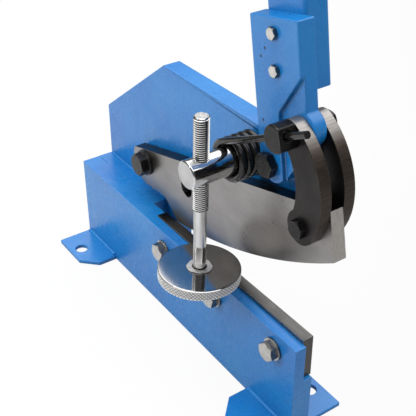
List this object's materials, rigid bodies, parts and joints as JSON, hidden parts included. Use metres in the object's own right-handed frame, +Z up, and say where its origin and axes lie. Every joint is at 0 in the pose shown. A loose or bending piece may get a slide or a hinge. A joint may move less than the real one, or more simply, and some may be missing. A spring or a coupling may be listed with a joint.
{
  "type": "bench lever shear",
  "caption": "Bench lever shear with a fixed lower blade, a curved upper blade on a linkage, a screw hold-down and a spring return.",
  "frame": {"origin": "on the bench at the middle of the four foot bolt holes", "axes": "+X from the blade pivot towards the lever, +Y from the hold-down side to the upright plate, +Z up"},
  "size_m": [0.3396, 0.1198, 0.6886],
  "materials": {
    "blue_paint": "semi-gloss brushed-on enamel, lightly orange-peeled",
    "blade_steel": "ground tool steel, satin",
    "black_steel": "black oxide, oiled",
    "spring_steel": "black spring wire, semi-gloss",
    "bright_chrome": "bright turned and plated",
    "turned_steel": "turned face with a knurled rim",
    "zinc_plated": "zinc plated",
    "grip_rubber": "matt moulded rubber"
  },
  "bodies": {
    "frame": {"bed_bar": "blue_paint", "spacer_block": "blue_paint", "upright_plate": "blue_paint", "rear_near_foot": "blue_paint", "rear_far_foot": "blue_paint", "front_near_foot": "blue_paint", "front_far_foot": "blue_paint", "lower_blade": "blade_steel", "lower_blade_bolts": "zinc_plated", "lower_blade_washers": "zinc_plated", "bar_die": "black_steel", "blade_pivot_bolt": "black_steel", "blade_pivot_spacer": "black_steel", "blade_pivot_nut": "black_steel", "fulcrum_bolt": "black_steel", "fulcrum_spacer": "black_steel", "fulcrum_nut": "black_steel", "hold_down_rod": "bright_chrome", "hold_down_nut": "black_steel", "rear_washers": "black_steel"},
    "spring": {"torsion_spring": "spring_steel"},
    "lever": {"lever_head": "blue_paint", "handle_tube": "blue_paint", "handle_grip": "grip_rubber", "handle_bolts": "zinc_plated", "handle_nuts": "zinc_plated"},
    "blade": {"upper_blade": "blade_steel"},
    "links": {"near_link": "black_steel", "far_link": "black_steel", "link_bolt": "black_steel", "link_bolt_nut": "black_steel"},
    "link_pin": {"link_pin_post": "black_steel", "link_pin_washer": "black_steel", "link_pin_nut": "black_steel"},
    "spindle": {"clamp_spindle": "bright_chrome"},
    "disc": {"clamp_disc": "turned_steel", "clamp_collar": "turned_steel"}
  },
  "joints": [
    {"name": "lever_swing", "type": "hinge", "parent": "frame", "child": "lever", "pos_m": [0.105, 0.014, 0.212], "axis": [0, 1, 0], "range_deg": [0, 90], "stiffness_Nm_per_rad": 1.2, "springref_deg": -34.38},
    {"name": "blade_swing", "type": "hinge", "parent": "frame", "child": "blade", "pos_m": [-0.074, 0.015, 0.124], "axis": [0, 1, 0], "range_deg": [0, 16.84]},
    {"name": "links_swing", "type": "hinge", "parent": "lever", "child": "links", "pos_m": [0.13205, 0.015, 0.2502], "axis": [0, 1, 0], "range_deg": [-81.01, 0]},
    {"name": "link_pin_turn", "type": "hinge", "parent": "lever", "child": "link_pin", "pos_m": [0.13205, 0.015, 0.2502], "axis": [0, 1, 0], "range_deg": [-37.36, 0]},
    {"name": "spring_wind", "type": "hinge", "parent": "frame", "child": "spring", "pos_m": [0.072, 0, 0.2025], "axis": [0, 1, 0], "range_deg": [0, 52.66], "deforming": ["torsion_spring"]},
    {"name": "spindle_slide", "type": "slide", "parent": "frame", "child": "spindle", "axis": [0, 0, 1], "range_m": [-0.01401, 0.02101]},
    {"name": "disc_turn", "type": "hinge", "parent": "spindle", "child": "disc", "pos_m": [0.072, -0.029, 0.1105], "axis": [0, 0, 1], "range_deg": [-2880, 4320]}
  ],
  "couplings": [
    {"joint": "blade_swing", "follows": "lever_swing", "ratio": 0.187},
    {"joint": "links_swing", "follows": "lever_swing", "ratio": -0.9},
    {"joint": "link_pin_turn", "follows": "lever_swing", "ratio": -0.415},
    {"joint": "spring_wind", "follows": "lever_swing", "ratio": 0.585},
    {"joint": "spindle_slide", "follows": "disc_turn", "m_per_rad": 0.00027852}
  ]
}
